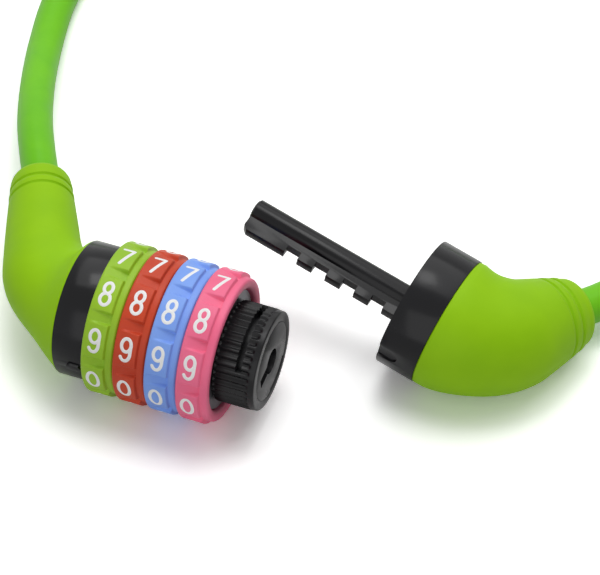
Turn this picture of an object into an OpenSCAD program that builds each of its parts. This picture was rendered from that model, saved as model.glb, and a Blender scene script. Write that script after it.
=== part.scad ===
// Four dial combination cable lock, drawn open with the code 0-0-0-0 set.
// Millimetres, +Z up. The lock barrel lies along X, and its open end looks along +X.
// The origin is the centre of the bolt hole where it opens on the lock's end face.

/* [Dials] */
// Diameter over the raised number pads of a dial
dial_d = 36; // [32:0.5:44]
// Distance from one dial to the next
dial_pitch = 7.7; // [7:0.1:10]
// Running gap between two dials
dial_gap = 0.3; // [0.2:0.05:0.5]
// Height of a number pad above the valley beside it
pad_h = 1.1; // [0.6:0.1:1.6]
// Width of the pads along the dial, from the boot side
pad_w = 5.5; // [4.5:0.1:5.8]
// Angle that one pad covers
pad_angle = 27; // [22:1:31]
// Wall of a dial round the opening in its end face, under the valleys
dial_wall = 2.4; // [1.8:0.1:3]

/* [Bolt] */
// Diameter of the bolt's round shaft
bolt_d = 6; // [5:0.1:7]
// Running gap between the bolt's shaft and its bore
bolt_gap = 0.1; // [0.05:0.01:0.1]
// How far the bolt's tip goes past the lock's collar when the lock is closed
bolt_past = 4.05; // [2.5:0.05:5]
// Reach of the bolt's teeth from the shaft's centre
tooth_r = 6.5; // [6.2:0.1:7]
// Reach of the floor between two teeth
notch_r = 4.5; // [3.6:0.1:4.8]
// Thickness of the toothed fin
fin_t = 2.4; // [2:0.1:3]
// Width of a notch between two teeth
notch_w = 3.6; // [3.2:0.1:4]

/* [Collars] */
// Diameter of both black collars
collar_d = 32; // [31:0.5:36]
// Width of the lock's collar
lock_collar_w = 7.6; // [6:0.1:10]
// Thickness of the cup's floor within the plug's collar
cup_web = 0.3; // [0.3:0.1:3]

/* [Reset sleeve] */
// Diameter of the ribbed reset sleeve over its ribs
sleeve_d = 24; // [23:0.5:25]
// How far the sleeve stands out of the last dial
sleeve_out = 9.15; // [8:0.05:9.5]
// Number of grip ribs round the sleeve
rib_n = 42; // [24:2:48]
// Angle that the reset sleeve turns
reset_turn = 90; // [60:5:90]

/* [Boots and cable] */
// Diameter of the cable over its jacket
cable_d = 9; // [8:0.5:9]
// Angle that the lock's boot bends through
lock_bend = 64.5; // [50:0.5:66]
// Radius of the bend in the middle of the lock's boot
lock_bend_r = 13; // [12:0.5:15]
// Straight length of the lock's boot after its bend
lock_boot_straight = 31; // [28:0.5:44]
// Thickness of the lock's boot round the cable, beside its grooves
lock_lip = 2.9; // [2.2:0.1:4]
// Length over which the lock's boot narrows behind the collar
lock_flare = 3.8; // [3:0.1:8]
// Angle that the plug's boot bends through
plug_bend = 62; // [45:0.5:66]
// Radius of the bend in the middle of the plug's boot
plug_bend_r = 16; // [13:0.5:18]
// Straight length of the plug's boot after its bend
plug_boot_straight = 17; // [16:0.5:30]
// Thickness of the plug's boot round the cable, beside its grooves
plug_lip = 4.1; // [2.2:0.1:5]
// Radius of the plug's boot in its bend
plug_waist_r = 14.8; // [13:0.1:15.5]
// Length over which the plug's boot narrows behind the collar
plug_flare = 6; // [3:0.1:8]

/* [Hidden] */
$fn = 64;

// The row of numbers under the index mark faces this far round from the top
code_angle = 96;
dial_count = 4;
number_step = 36;
dial_w = dial_pitch - dial_gap;
dial_r = dial_d / 2;
collar_r = collar_d / 2;
recess_r = dial_r - pad_h - dial_wall;
sleeve_r = sleeve_d / 2;
cable_r = cable_d / 2;
bore_r = bolt_d / 2 + bolt_gap;
slide_gap = 0.1;
run_gap = 0.08;
face_gap = 0.2;

// Places along the lock's axis
last_face_x = -sleeve_out;
function dial_x(i) = last_face_x - dial_w / 2 - dial_pitch * (dial_count - 1 - i);
collar_front_x = dial_x(0) - dial_w / 2 - dial_gap;
collar_back_x = collar_front_x - lock_collar_w;

// Inside a dial, measured from its middle: the code ring, the web's recess and the spacer
ring_t = 2.4;
ring_mid = -2;
recess_floor = 0.2;
flange_x = 0.5;
flange_t = 1.9;
ring_r = tooth_r + 3;
spline_h = 1;
spline_angle = 12;
gate_w = fin_t + 0.6;
gate_r = tooth_r + 0.4;
spacer_hub_r = ring_r - 0.2;
flange_r = recess_r - 0.3;

// The balls that click under a dial, and the pockets that hold them
ball_r = 0.6;
ball_pocket = 1.6;
detent_circle = (ring_r + recess_r) / 2;
detent_angle = code_angle + 180;
// Width of the smooth rim on a dial's boot side
rim_w = 0.6;

// The slotted core, whose head carries the sleeve
core_r = bore_r + 2.3;
core_slot_w = fin_t + 0.4;
core_slot_r = tooth_r + 0.4;
head_r = sleeve_r - 2.6;
head_x = dial_x(3) + flange_x + flange_t + 0.5;
core_tail_x = collar_back_x - bolt_past - 1.95;

// The pin that holds the sleeve, in the core's head
stop_r = 0.6;
stop_in_r = head_r - 2;
stop_angle = -33;
stop_pin_x = -4.2;

// The cross screws that hold the core in the housing
screw_r = 1.25;
screw_in_r = bore_r + 1.2;
screw_x = (collar_back_x + collar_front_x) / 2;

// The housing behind the dials
housing_r = collar_r - 2.4;
housing_front_x = collar_front_x - 0.45;
neck_r = core_slot_r + 1.1;
neck_len = bolt_past + 4.35;
arm_r = cable_r + 1.5;
knuckle_r = arm_r + 0.6;

// The plug, measured from the front of its collar, towards its boot
home_gap = 0.55;
notch_first = home_gap + dial_w / 2 - ring_mid;
cup_r = sleeve_r + 0.6;
cup_floor = sleeve_out + 0.15;
plug_collar_w = cup_floor + cup_web;
bolt_len = home_gap - sleeve_out - collar_back_x + bolt_past;
plug_flange_r = collar_r - 2;
plug_flange_t = 0.7;
plug_neck_r = tooth_r + 1.5;
bolt_root = plug_collar_w + 7.8;
pin_r = 1.2;
pin_x = plug_collar_w + 3.6;

// The plug lies beside the lock: the collar's centre, and the lean from the lock's axis
plug_at = [24, 28.4, 0.33];
lean_axis = [0, -0.8, 0.6];
lean = 15;

// The boots
boot_lead = 1;
crease = 0.4;
boot_sides = 28;
lock_boot_drop = 2;
plug_boot_drop = 4;
lock_flare_power = 1.5;
plug_flare_power = 2.4;
ferrule_r = cable_r - 0.5;
ferrule_lip_r = cable_r + 0.5;
ferrule_lip = 6;
cable_in_boot = 6;
lock_socket = 18;
plug_socket = 10;

// Points of the cable, chosen by hand, from the lock's boot round to the plug's boot
cable_route = [
    [-79.2, 45.2, -1.9], [-84.6, 55.5, -3.7], [-89.5, 66.5, -6.3], [-94, 78, -9.2], [-98.4, 91, -12],
    [-102.6, 108, -13.4], [-104.2, 128, -13.4], [-103.2, 149, -13.4], [-98.5, 170, -13.4],
    [-89, 188, -13.4], [-75, 201, -13.4], [-57, 208.5, -13.4], [-36, 211, -13.4],
    [-14, 211.5, -13.4], [8, 210, -13.4], [29, 205, -13.4], [48, 195.5, -13.4],
    [63, 181, -13.4], [74, 163, -13.4], [81.5, 143, -13.4], [84.8, 122, -13.4],
    [84.7, 105, -13.4], [81.6, 90, -13.2], [76.8, 76.5, -12.6], [70.8, 64.5, -11.4]
];
cable_sides = 12;
// Points of the route where one length of cable ends and the next begins
cable_cut_1 = 12;
cable_cut_2 = 18;
cable_gap = 0.3;

function unit(v) = v / norm(v);
function dot(a, b) = a[0] * b[0] + a[1] * b[1] + a[2] * b[2];

// v turned by an angle about an axis through the origin
function turned(v, axis, a) =
    v * cos(a) + cross(axis, v) * sin(a) + axis * dot(axis, v) * (1 - cos(a));
function plug_to_world(p) = plug_at + turned(p, lean_axis, -lean);

// A boot's middle line in its own frame: it starts along +X and bends towards +Y
function boot_len(bend, r, straight) = boot_lead + r * bend * PI / 180 + straight;
function bend_at(s, bend, r) = min(max((s - boot_lead) / r * 180 / PI, 0), bend);
function past_bend(s, bend, r) = max(s - boot_lead - r * bend * PI / 180, 0);
function boot_point(s, bend, r) =
    let (a = bend_at(s, bend, r), q = past_bend(s, bend, r))
    [min(s, boot_lead) + r * sin(a) + q * cos(bend), r * (1 - cos(a)) + q * sin(bend), 0];
function knuckle(bend, r) = boot_lead + r * tan(bend / 2);
function exit_reach(bend, r, straight) = r * tan(bend / 2) + straight;
function exit_way(bend, drop) = [cos(bend), sin(bend) * cos(drop), -sin(bend) * sin(drop)];

// The room that a housing's knuckle needs round the boot's middle line, in the bend
function knuckle_reach(bend, r) = r * (1 / cos(bend / 2) - 1) + knuckle_r + slide_gap;

// A boot's shape: mouth radius, radius in the bend, length and power of the flare to the collar
lock_waist_r = max(neck_r + 2, knuckle_reach(lock_bend, lock_bend_r) + 0.93);
lock_shape = [cable_r + lock_lip, lock_waist_r, lock_flare, lock_flare_power];
plug_shape = [cable_r + plug_lip, plug_waist_r, plug_flare, plug_flare_power];
groove_depth = 0.45;
function boot_r(s, total, shape) =
    shape[0] + (shape[1] - shape[0]) * cos(90 * min(s / total * 1.04, 1))
    + (collar_r - shape[1]) * exp(-pow(s / shape[2], shape[3]));

// Stations along a boot: even steps, then two ring grooves and a rounded mouth
groove_w = 0.7;
groove_at = [8.2, 5.2];
mouth_round = 2.4;
function boot_stations(total) = let (plain = total - groove_at[0] - 2 * groove_w - boot_lead) concat(
    [[0, 0], [boot_lead, 0]],
    [for (i = [1:15]) [boot_lead + plain * pow(i / 15, 1.25), 0]],
    [
        for (g = groove_at, k = [-1, -0.4, 0.4, 1])
            [total - g + k * groove_w, abs(k) < 0.5 ? groove_depth : 0]
    ],
    [
        [total - mouth_round, 0], [total - mouth_round * 0.6, mouth_round * 0.08],
        [total - mouth_round * 0.25, mouth_round * 0.34], [total, mouth_round * 0.8]
    ]
);

// A tube of rings, each a list of points, closed at both ends
module skin(rings) {
    n = len(rings[0]);
    last = len(rings) - 1;
    points = [for (ring = rings, p = ring) p];
    sides = [
        for (k = [0:last - 1], j = [0:n - 1])
            let (a = k * n + j, b = k * n + (j + 1) % n)
            each [[a, b, b + n], [a, b + n, a + n]]
    ];
    start = [for (j = [1:n - 2]) [0, j + 1, j]];
    end = [for (j = [1:n - 2]) [last * n, last * n + j, last * n + j + 1]];
    polyhedron(points = points, faces = concat(sides, start, end));
}

// A hollow tube whose rings run along its outside and back along its inside
module hollow_skin(rings) {
    n = len(rings[0]);
    count = len(rings);
    polyhedron(
        points = [for (ring = rings, p = ring) p],
        faces = [
            for (k = [0:count - 1], j = [0:n - 1])
                let (
                    a = k * n + j,
                    b = k * n + (j + 1) % n,
                    c = (k + 1) % count * n + (j + 1) % n,
                    d = (k + 1) % count * n + j
                )
                each [[a, b, c], [a, c, d]]
        ]
    );
}

// A ring of points round p, square to the direction way
function ring_round(p, way, r, n) =
    let (side = unit(cross(way, [0, 0, 1])), up = cross(side, way))
    [for (j = [0:n - 1]) p + r * (cos(360 * j / n) * side + sin(360 * j / n) * up)];

// The route's points from one to another, with its first point moved on by a gap
module cable_tube(first, last, gap) {
    end = len(whole_route) - 1;
    ways = [for (i = [0:end]) unit(whole_route[min(i + 1, end)] - whole_route[max(i - 1, 0)])];
    skin([
        for (i = [first:last])
            ring_round(whole_route[i] + (i == first ? gap : 0) * ways[i], ways[i], cable_r, cable_sides)
    ]);
}

// Cylinders and tubes along X
module rod_x(x0, x1, r) {
    translate([x0, 0, 0]) rotate([0, 90, 0]) cylinder(h = x1 - x0, r = r);
}

module tube_x(x0, x1, r_out, r_in) {
    difference() {
        rod_x(x0, x1, r_out);
        rod_x(x0 - 1, x1 + 1, r_in);
    }
}

// A flat key along X from the axis out to a radius, facing the code row
module key_x(x0, x1, width, reach) {
    rotate([code_angle, 0, 0]) translate([x0, -width / 2, 0]) cube([x1 - x0, width, reach]);
}

// A radial pin at x, from one radius to another, at an angle from the top
module radial_pin(x, angle, r0, r1, r) {
    rotate([angle, 0, 0]) translate([x, 0, r0]) cylinder(h = r1 - r0, r = r, $fn = 32);
}

// From a boot's own frame to the arm that holds the cable's ferrule
module along_arm(bend, r, drop) {
    translate([knuckle(bend, r), 0, 0]) rotate([-drop, 0, 0]) rotate([0, 0, bend]) children();
}

module at_lock_boot() {
    translate([collar_back_x, 0, 0]) mirror([1, 0, 0]) children();
}

module at_plug() {
    translate(plug_at) rotate(a = -lean, v = lean_axis) children();
}

module at_plug_boot() {
    at_plug() translate([plug_collar_w, 0, 0]) children();
}

// The radius to the corners of a ring whose flats are r from its middle
function corner_r(r) = r / cos(180 / boot_sides);

// Stations along the inside of a boot, from its mouth back to the collar
function cavity(total, arm_s, sleeve) = concat(
    [[total, corner_r(cable_r + slide_gap)], [total - cable_in_boot + 0.3, corner_r(cable_r + slide_gap)]],
    [
        [total - cable_in_boot - 0.01, corner_r(ferrule_lip_r + slide_gap)],
        [arm_s + 0.3, corner_r(ferrule_lip_r + slide_gap)],
        [arm_s + 0.01, corner_r(arm_r + slide_gap)]
    ],
    sleeve
);

// A ring of a boot, held back on the inside of the bend so that the rings never cross
function boot_ring(s, r, bend, bend_r) =
    let (
        a = bend_at(s, bend, bend_r),
        outward = [sin(a), -cos(a), 0],
        limit = s > boot_lead + 0.01 ? bend_r - crease : r
    )
    [
        for (j = [0:boot_sides - 1])
            let (t = 360 * j / boot_sides)
            boot_point(s, bend, bend_r) + max(r * cos(t), -limit) * outward + [0, 0, r * sin(t)]
    ];

module boot(bend, bend_r, drop, straight, shape, sleeve) {
    total = boot_len(bend, bend_r, straight);
    outside = [for (st = boot_stations(total)) [st[0], boot_r(st[0], total, shape) - st[1]]];
    stations = concat(outside, cavity(total, total - cable_in_boot - ferrule_lip, sleeve));
    rotate([-drop, 0, 0]) hollow_skin([for (st = stations) boot_ring(st[0], st[1], bend, bend_r)]);
}

// The arm of a housing: a knuckle and a socket that holds the ferrule
module housing_arm(bend, r, drop, socket, arm_end) {
    difference() {
        union() {
            translate([knuckle(bend, r), 0, 0]) sphere(r = knuckle_r);
            along_arm(bend, r, drop) rod_x(0, arm_end, arm_r);
        }
        along_arm(bend, r, drop) rod_x(arm_end - socket, arm_end + 1, ferrule_r + 0.02);
        along_arm(bend, r, drop) ferrule_pin_body(arm_end, 0.02);
    }
}

module ferrule_pin_body(arm_end, grow) {
    translate([arm_end - 4, 0, -arm_r - 1 + 1.2])
        cylinder(h = 2 * arm_r - 0.4, r = 0.9 + grow, $fn = 32);
}

module ferrule(bend, r, drop, socket, arm_end) {
    along_arm(bend, r, drop) difference() {
        union() {
            rod_x(arm_end - socket + face_gap, arm_end + face_gap, ferrule_r);
            rod_x(arm_end + face_gap, arm_end + ferrule_lip, ferrule_lip_r);
        }
        ferrule_pin_body(arm_end, 0.02);
        rod_x(arm_end - socket + 2, arm_end + ferrule_lip + 1, 2);
    }
}

lock_exit_q = exit_reach(lock_bend, lock_bend_r, lock_boot_straight);
plug_exit_q = exit_reach(plug_bend, plug_bend_r, plug_boot_straight);
lock_arm_end = lock_exit_q - cable_in_boot - ferrule_lip;
plug_arm_end = plug_exit_q - cable_in_boot - ferrule_lip;

// ---- Lock half ----

module lock_boot() {
    bend_end = boot_len(lock_bend, lock_bend_r, 0);
    room = knuckle_reach(lock_bend, lock_bend_r);
    // The neck's end corner, as the boot's bending middle line has it
    corner = [neck_len - boot_lead, lock_bend_r + neck_r];
    corner_at = boot_lead + lock_bend_r * atan2(corner[0], corner[1]) * PI / 180;
    color("yellowgreen") at_lock_boot()
        boot(lock_bend, lock_bend_r, lock_boot_drop, lock_boot_straight, lock_shape, [
            [bend_end, corner_r(arm_r + 0.3)], [bend_end - 3, corner_r(room - 0.5)],
            [boot_len(lock_bend / 2, lock_bend_r, 0), corner_r(room + 0.15)],
            [corner_at, corner_r(norm(corner) - lock_bend_r + slide_gap)],
            [boot_lead, corner_r(neck_r + slide_gap)], [0, corner_r(neck_r + slide_gap)]
        ]);
}

module lock_collar() {
    lip = 1.2;
    color([0.06, 0.06, 0.07]) union() {
        difference() {
            rod_x(collar_back_x, collar_front_x, collar_r);
            rod_x(collar_back_x + lip, collar_front_x + 1, housing_r + 0.05);
            rod_x(collar_back_x - 1, collar_back_x + lip + 1, neck_r + 0.05);
        }
        index_mark();
    }
}

// A small raised bar in line with the code row
module index_mark() {
    mark_l = 3.6;
    mark_w = 1.7;
    mark_h = 0.6;
    rotate([code_angle, 0, 0]) intersection() {
        hull() for (x = [mark_w / 2, mark_l - mark_w / 2])
            translate([collar_front_x - mark_l + x - 0.5, 0, collar_r - 1])
                cylinder(h = mark_h + 1, r = mark_w / 2, $fn = 32);
        translate([collar_back_x, -collar_r, 0]) cube([lock_collar_w, collar_d, collar_r + mark_h]);
    }
}

module lock_housing() {
    inner = collar_back_x + 1.25;
    color("silver") difference() {
        union() {
            rod_x(inner, housing_front_x, housing_r);
            rod_x(collar_back_x - neck_len, inner + 1, neck_r);
            at_lock_boot()
                housing_arm(lock_bend, lock_bend_r, lock_boot_drop, lock_socket, lock_arm_end);
        }
        rod_x(core_tail_x, housing_front_x + 1, core_r + 0.02);
        key_x(core_tail_x, housing_front_x + 1, core_slot_w, core_slot_r);
        for (a = [code_angle - 90, code_angle + 90])
            radial_pin(screw_x, a, screw_in_r, housing_r + 1, screw_r + 0.02);
    }
}

module core_screws() {
    slot_w = 0.6;
    slot_h = 0.8;
    color("dimgray") for (a = [code_angle - 90, code_angle + 90]) difference() {
        radial_pin(screw_x, a, screw_in_r + 0.1, housing_r - 0.3, screw_r);
        rotate([a, 0, 0]) translate([screw_x - 2, -slot_w / 2, housing_r - 0.3 - slot_h])
            cube([4, slot_w, 2]);
    }
}

// A slotted tube with a head: the bolt runs in it, and the dials turn round it
module lock_core() {
    color([0.13, 0.13, 0.14]) difference() {
        union() {
            rod_x(core_tail_x + face_gap, head_x, core_r);
            rod_x(head_x, 0, head_r);
        }
        rod_x(core_tail_x - 1, 1, bore_r);
        key_x(core_tail_x - 1, 1, core_slot_w, core_slot_r);
        for (a = [code_angle - 90, code_angle + 90])
            radial_pin(screw_x, a, screw_in_r, core_r + 1, screw_r + 0.02);
        radial_pin(stop_pin_x, stop_angle, stop_in_r, head_r + 1, stop_r + 0.02);
        face_arc_slot();
    }
}

// A wedge round the X axis between two angles from the top
module wedge_x(from, to, reach, length) {
    steps = 8;
    rotate([90, 0, 90]) linear_extrude(height = length, center = true) polygon(concat(
        [[0, 0]],
        [
            for (k = [0:steps])
                let (a = from + (to - from) * k / steps)
                [-reach * sin(a), reach * cos(a)]
        ]
    ));
}

// The curved step in the end face, beside the keyhole
module face_arc_slot() {
    depth = 0.8;
    width = 1;
    intersection() {
        tube_x(-depth, 1, head_r + 1, head_r - width);
        wedge_x(172, 232, head_r + 4, 6);
    }
}

module base_washer() {
    end = dial_x(0) + ring_mid - ring_t / 2 - face_gap;
    color("gray") difference() {
        tube_x(housing_front_x, end, spacer_hub_r, core_r + 0.02);
        key_x(housing_front_x - 1, end + 1, core_slot_w, core_slot_r);
    }
}

// A keyed spacer: its hub parts two code rings, and its flange centres a dial
module spacer(i, hub_end) {
    hub_start = dial_x(i) + ring_mid + ring_t / 2 + face_gap;
    flange = dial_x(i) + flange_x;
    difference() {
        union() {
            rod_x(hub_start, hub_end, spacer_hub_r);
            rod_x(flange, flange + flange_t, flange_r);
        }
        rod_x(hub_start - 1, hub_end + 1, core_r + 0.02);
        key_x(hub_start - 1, hub_end + 1, core_slot_w, core_slot_r);
        detent_place(i) cylinder(h = ball_pocket, r = ball_r + 0.05, $fn = 32);
    }
}

// The mouth of the ball's pocket in spacer i, looking towards the sleeve
module detent_place(i) {
    rotate([detent_angle, 0, 0]) translate([dial_x(i) + flange_x, 0, detent_circle])
        rotate([0, 90, 0]) children();
}

module numbered_spacer(i) {
    color("gray") spacer(i, dial_x(i + 1) + ring_mid - ring_t / 2 - face_gap);
}

module end_plate() {
    color("slategray") spacer(3, dial_x(3) + flange_x + flange_t);
}

module detent_balls() {
    color("silver") for (i = [0:dial_count - 1])
        detent_place(i) translate([0, 0, ball_r - 0.25]) sphere(r = ball_r, $fn = 24);
}

module detent_springs() {
    color("silver") for (i = [0:dial_count - 1])
        detent_place(i) translate([0, 0, 2 * ball_r - 0.25]) difference() {
            cylinder(h = ball_pocket - 2 * ball_r + 0.25, r = 0.5, $fn = 24);
            translate([0, 0, -1]) cylinder(h = 4, r = 0.3, $fn = 24);
        }
}

module wave_washer() {
    start = dial_x(3) + flange_x + flange_t;
    color("silver") difference() {
        tube_x(start, head_x, head_r - 0.6, core_r + 0.1);
        key_x(start - 1, head_x + 1, core_slot_w, core_slot_r);
    }
}

// The pin of the core that runs in the sleeve's slot and stops it
module stop_pin() {
    color("black") radial_pin(stop_pin_x, stop_angle, stop_in_r + 0.1, sleeve_r - 1, stop_r);
}

module lock_ferrule() {
    color("silver") at_lock_boot()
        ferrule(lock_bend, lock_bend_r, lock_boot_drop, lock_socket, lock_arm_end);
}

module lock_ferrule_pin() {
    color("gray") at_lock_boot() along_arm(lock_bend, lock_bend_r, lock_boot_drop)
        ferrule_pin_body(lock_arm_end, 0);
}

// ---- Dials ----

// The middle of dial i at the origin, with the number 0 under the index mark
module dial(i, shade) {
    valley_r = dial_r - pad_h;
    flange_edge_r = valley_r + 0.2;
    color(shade) translate([dial_x(i), 0, 0]) difference() {
        union() {
            rod_x(-dial_w / 2, -dial_w / 2 + pad_w, dial_r);
            rod_x(-dial_w / 2 + pad_w, dial_w / 2, flange_edge_r);
        }
        for (k = [0:9]) rotate([code_angle + number_step * (k + 0.5), 0, 0]) valley_cut();
        rod_x(recess_floor, dial_w, recess_r);
        rod_x(-dial_w, dial_w, ring_r + slide_gap);
        for (k = [0:9]) rotate([code_angle + number_step * k, 0, 0]) spline_cut();
        for (k = [0:9]) rotate([detent_angle + number_step * k, 0, 0])
            translate([recess_floor + 0.35, 0, detent_circle]) sphere(r = ball_r, $fn = 24);
    }
}

// The valley between two pads: it starts at the rim on the boot side and falls to the ring
module valley_cut() {
    half = dial_r * sin((number_step - pad_angle) / 2);
    fall = atan(pad_h / (pad_w - rim_w));
    translate([-dial_w / 2 + rim_w, 0, dial_r]) rotate([0, fall, 0]) rotate([90, 0, 90])
        linear_extrude(height = pad_w + 2) polygon([
            [-half * 0.7, 0], [half * 0.7, 0], [half * 1.2, 1.6], [-half * 1.2, 1.6]
        ]);
}

module spline_cut() {
    w = 2 * ring_r * sin(spline_angle / 2) + 2 * slide_gap;
    translate([-dial_w, -w / 2, ring_r - 1]) cube([2 * dial_w, w, spline_h + 1 + slide_gap]);
}

// A code ring: its gate lets the bolt's teeth pass when it faces the core's slot
module code_ring(i) {
    w = 2 * ring_r * sin(spline_angle / 2);
    root = ring_r - 0.7;
    color("goldenrod") translate([dial_x(i) + ring_mid - ring_t / 2, 0, 0]) difference() {
        union() {
            rod_x(0, ring_t, ring_r);
            for (k = [0:9]) rotate([code_angle + number_step * k, 0, 0])
                translate([0, -w / 2, root]) cube([ring_t, w, ring_r + spline_h - root]);
        }
        rod_x(-1, ring_t + 1, core_r + run_gap);
        key_x(-1, ring_t + 1, gate_w, gate_r);
    }
}

// ---- Reset sleeve ----

module reset_sleeve() {
    start = head_x + 0.05;
    chamfer = 0.4;
    rib_start = start + 1;
    rib_end = -1.3;
    valley = sleeve_r - 0.6;
    rib_gap = PI * sleeve_r / rib_n;
    color([0.08, 0.08, 0.09]) difference() {
        union() {
            rod_x(start, rib_end, sleeve_r);
            rod_x(rib_end, -chamfer, sleeve_r - 0.2);
            translate([-chamfer, 0, 0]) rotate([0, 90, 0])
                cylinder(h = chamfer, r1 = sleeve_r - 0.2, r2 = sleeve_r - 0.2 - chamfer);
        }
        rod_x(start - 1, 1, head_r + run_gap);
        for (k = [0:rib_n - 1]) rotate([360 * (k + 0.5) / rib_n, 0, 0])
            translate([rib_start, -rib_gap / 2, valley]) cube([rib_end - rib_start + 0.01, rib_gap, 2]);
        stop_slot();
    }
}

// The slot round the sleeve, from its stop pin on by the angle that the sleeve turns back
module stop_slot() {
    half = asin((stop_r + 0.2) / head_r);
    intersection() {
        tube_x(stop_pin_x - stop_r - 0.1, stop_pin_x + stop_r + 0.1, sleeve_r + 1, head_r - 1);
        wedge_x(stop_angle - half, stop_angle + reset_turn + half, sleeve_r + 6, 60);
    }
}

// ---- Cable ----

function mirrored(p) = [collar_back_x - p[0], p[1], p[2]];
function lock_cable_at(q) =
    mirrored([knuckle(lock_bend, lock_bend_r), 0, 0] + q * exit_way(lock_bend, lock_boot_drop));
function plug_cable_at(q) = plug_to_world(
    [plug_collar_w + knuckle(plug_bend, plug_bend_r), 0, 0] + q * exit_way(plug_bend, plug_boot_drop)
);

whole_route = concat(
    [lock_cable_at(lock_exit_q - cable_in_boot), lock_cable_at(lock_exit_q)], cable_route,
    [
        plug_cable_at(plug_exit_q + 9), plug_cable_at(plug_exit_q),
        plug_cable_at(plug_exit_q - cable_in_boot + cable_gap)
    ]
);

module cable_lock_side() {
    color("limegreen") cable_tube(0, cable_cut_1, 0);
}

module cable_middle() {
    color("limegreen") cable_tube(cable_cut_1, cable_cut_2, cable_gap);
}

module cable_plug_side() {
    color("limegreen") cable_tube(cable_cut_2, len(whole_route) - 1, cable_gap);
}

// ---- Plug half ----

module plug_boot() {
    bend_end = boot_len(plug_bend, plug_bend_r, 0);
    flange_end = plug_flange_t + face_gap;
    room = max(plug_neck_r + 0.7, knuckle_reach(plug_bend, plug_bend_r));
    color("yellowgreen") at_plug_boot()
        boot(plug_bend, plug_bend_r, plug_boot_drop, plug_boot_straight, plug_shape, [
            [bend_end, corner_r(arm_r + 0.3)], [bend_end - 4, corner_r(room - 0.4)],
            [boot_len(plug_bend / 2, plug_bend_r, 0), corner_r(room + 0.3)],
            [boot_len(plug_bend / 4, plug_bend_r, 0), corner_r(room + 0.3)],
            [flange_end + 0.3, corner_r(plug_neck_r + 0.7)],
            [flange_end, corner_r(plug_flange_r + slide_gap)], [0, corner_r(plug_flange_r + slide_gap)]
        ]);
}

module plug_collar() {
    color([0.06, 0.06, 0.07]) at_plug() difference() {
        rod_x(0, plug_collar_w, collar_r);
        rod_x(-1, plug_collar_w + 1, cup_r);
        u_mark();
    }
}

// The U shaped recess in the rim that lines up with the index mark
module u_mark() {
    mark_w = 4.2;
    mark_l = 5;
    depth = 0.6;
    rotate([code_angle, 0, 0]) translate([0, 0, collar_r - depth]) {
        translate([-1, -mark_w / 2, 0]) cube([mark_l - mark_w / 2 + 1, mark_w, 3]);
        translate([mark_l - mark_w / 2, 0, 0]) cylinder(h = 3, r = mark_w / 2, $fn = 32);
    }
}

module plug_housing() {
    color("silver") at_plug() difference() {
        union() {
            rod_x(cup_floor, plug_collar_w + 0.1, cup_r - slide_gap);
            rod_x(plug_collar_w, plug_collar_w + plug_flange_t, plug_flange_r);
            rod_x(cup_floor, plug_collar_w + knuckle(plug_bend, plug_bend_r) - 4, plug_neck_r);
            translate([plug_collar_w, 0, 0])
                housing_arm(plug_bend, plug_bend_r, plug_boot_drop, plug_socket, plug_arm_end);
        }
        rod_x(cup_floor - 1, bolt_root, bolt_d / 2 + 0.02);
        key_x(cup_floor - 1, cup_floor + 2.4, fin_t + 0.1, tooth_r + 0.1);
        bolt_pin_body(0.02);
    }
}

module bolt_pin_body(grow) {
    rotate([code_angle + 90, 0, 0]) translate([pin_x, 0, -plug_neck_r + 0.6])
        cylinder(h = 2 * plug_neck_r - 1.2, r = pin_r + grow, $fn = 32);
}

module lock_bolt() {
    nose = 0.5;
    fin_start = -bolt_len + 0.3;
    fin_nose = 1.1;
    color("black") at_plug() difference() {
        union() {
            rod_x(-bolt_len + nose, bolt_root - face_gap, bolt_d / 2);
            translate([-bolt_len, 0, 0]) rotate([0, 90, 0])
                cylinder(h = nose, r1 = bolt_d / 2 - nose, r2 = bolt_d / 2);
            key_x(fin_start, cup_floor + 2.2, fin_t, tooth_r);
        }
        for (i = [0:dial_count - 1]) rotate([code_angle, 0, 0])
            translate([-notch_first - i * dial_pitch - notch_w / 2, -fin_t, notch_r])
                cube([notch_w, 2 * fin_t, tooth_r]);
        rotate([code_angle, 0, 0]) translate([fin_start, fin_t, tooth_r - fin_nose]) rotate([90, 0, 0])
            linear_extrude(height = 2 * fin_t)
                polygon([
                    [-0.01, -0.01], [-0.01, fin_nose + 1], [fin_nose, fin_nose + 1], [fin_nose, fin_nose]
                ]);
        bolt_pin_body(0.02);
    }
}

module bolt_pin() {
    color("gray") at_plug() bolt_pin_body(0);
}

module plug_ferrule() {
    color("silver") at_plug_boot()
        ferrule(plug_bend, plug_bend_r, plug_boot_drop, plug_socket, plug_arm_end);
}

module plug_ferrule_pin() {
    color("gray") at_plug_boot() along_arm(plug_bend, plug_bend_r, plug_boot_drop)
        ferrule_pin_body(plug_arm_end, 0);
}

lock_boot();
lock_collar();
lock_housing();
lock_core();
core_screws();
base_washer();
numbered_spacer(0);  // spacer_1
numbered_spacer(1);  // spacer_2
numbered_spacer(2);  // spacer_3
end_plate();
detent_balls();
detent_springs();
wave_washer();
stop_pin();
lock_ferrule();
lock_ferrule_pin();
dial(0, "yellowgreen");  // dial_1
dial(1, "firebrick");  // dial_2
dial(2, "cornflowerblue");  // dial_3
dial(3, "palevioletred");  // dial_4
code_ring(0);  // code_ring_1
code_ring(1);  // code_ring_2
code_ring(2);  // code_ring_3
code_ring(3);  // code_ring_4
reset_sleeve();
cable_lock_side();
cable_middle();
cable_plug_side();
plug_boot();
plug_collar();
plug_housing();
lock_bolt();
bolt_pin();
plug_ferrule();
plug_ferrule_pin();
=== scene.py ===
"""Looks of a four dial combination cable lock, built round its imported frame.

Sizes in the classes are in millimetres, and each mesh is turned into metres when it is finished.
The lamps, the floor's size and fade and the finishes' grain are in metres from the start.
An angle round the lock's axis is counted in degrees from the top towards the numbers' side.
"""

from __future__ import annotations

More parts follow.
